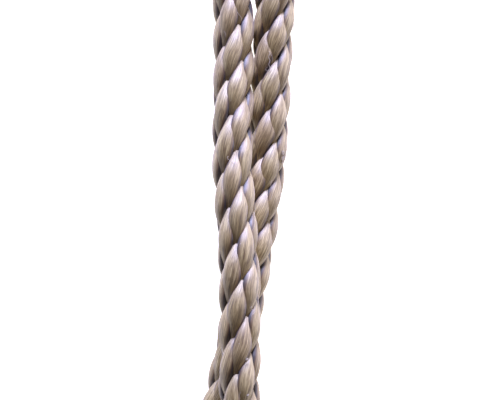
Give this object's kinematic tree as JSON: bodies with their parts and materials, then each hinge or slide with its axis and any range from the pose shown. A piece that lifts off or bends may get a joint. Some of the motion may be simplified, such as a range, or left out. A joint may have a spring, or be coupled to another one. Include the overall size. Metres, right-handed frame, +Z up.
{
  "type": "frayed braided rope",
  "caption": "Short length of solid-braided rope lying on a surface, doubled back over itself with a wide loop, its cut ends frayed open.",
  "frame": {"origin": "under the middle of the rope, on the surface that it lies on", "axes": "+Y along the doubled legs towards the loop, +Z up from the surface"},
  "size_m": [0.0624, 0.2322, 0.0209],
  "materials": {
    "rope_yarn": "lustrous taupe filament yarn, braided"
  },
  "bodies": {
    "root": {"rope": "rope_yarn"}
  },
  "joints": []
}
